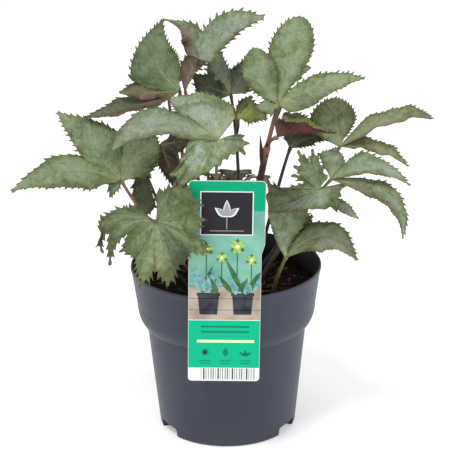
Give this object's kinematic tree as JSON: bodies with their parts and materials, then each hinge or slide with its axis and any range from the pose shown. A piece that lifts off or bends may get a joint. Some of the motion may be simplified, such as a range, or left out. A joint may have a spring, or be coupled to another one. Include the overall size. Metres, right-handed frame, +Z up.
{
  "type": "hellebore plant in a pot",
  "caption": "Potted hellebore with toothed, divided grey-green leaves on reddish stems, in a slate-grey nursery pot with a plain hook-over plant card.",
  "frame": {"origin": "centre of the pot's flat underside", "axes": "+Z up along the pot's axis, -Y towards the side where the card hangs, +X to the right when seen from the card's side"},
  "size_m": [0.3611, 0.2203, 0.3777],
  "materials": {
    "pot": "satin",
    "soil": "matte",
    "card": "satin",
    "stem": "satin",
    "leaf": "matte",
    "leaf_young_red": "satin",
    "leaf_young_green": "satin"
  },
  "bodies": {
    "root": {"pot": "pot", "soil": "soil", "card_label": "card", "petiole_left_low": "stem", "petiole_rim_left": "stem", "petiole_centre_front": "stem", "cane_top_right": "stem", "petiole_small_right": "stem", "petiole_right_mid": "stem", "petiole_right_low": "stem", "petiole_right_front": "stem", "petiole_rim_right": "stem", "petiole_top_left": "stem", "petiole_top_mid": "stem", "petiole_mid_back": "stem", "petiole_behind_label": "stem", "petiole_hanging_left": "stem", "petiole_back_mid": "stem", "petiole_back_right": "stem", "petiole_back_left": "stem", "petiole_back_top_left": "stem", "petiole_back_low": "stem", "leaf_left_low": "leaf", "leaf_rim_left": "leaf", "leaf_centre_front": "leaf", "leaf_top_right": "leaf", "leaf_young_red": "leaf_young_red", "leaf_small_right": "leaf", "leaf_right_mid": "leaf", "leaf_right_low": "leaf", "leaf_right_front": "leaf", "leaf_rim_right": "leaf", "leaf_top_left": "leaf", "leaf_top_mid": "leaf", "leaf_mid_back": "leaf", "leaf_young_mid": "leaf_young_green", "leaf_behind_label": "leaf", "leaf_hanging_left": "leaf", "leaf_back_mid": "leaf", "leaf_back_right": "leaf", "leaf_back_left": "leaf", "leaf_back_top_left": "leaf", "leaf_back_top_right": "leaf", "leaf_back_low": "leaf"}
  },
  "joints": []
}
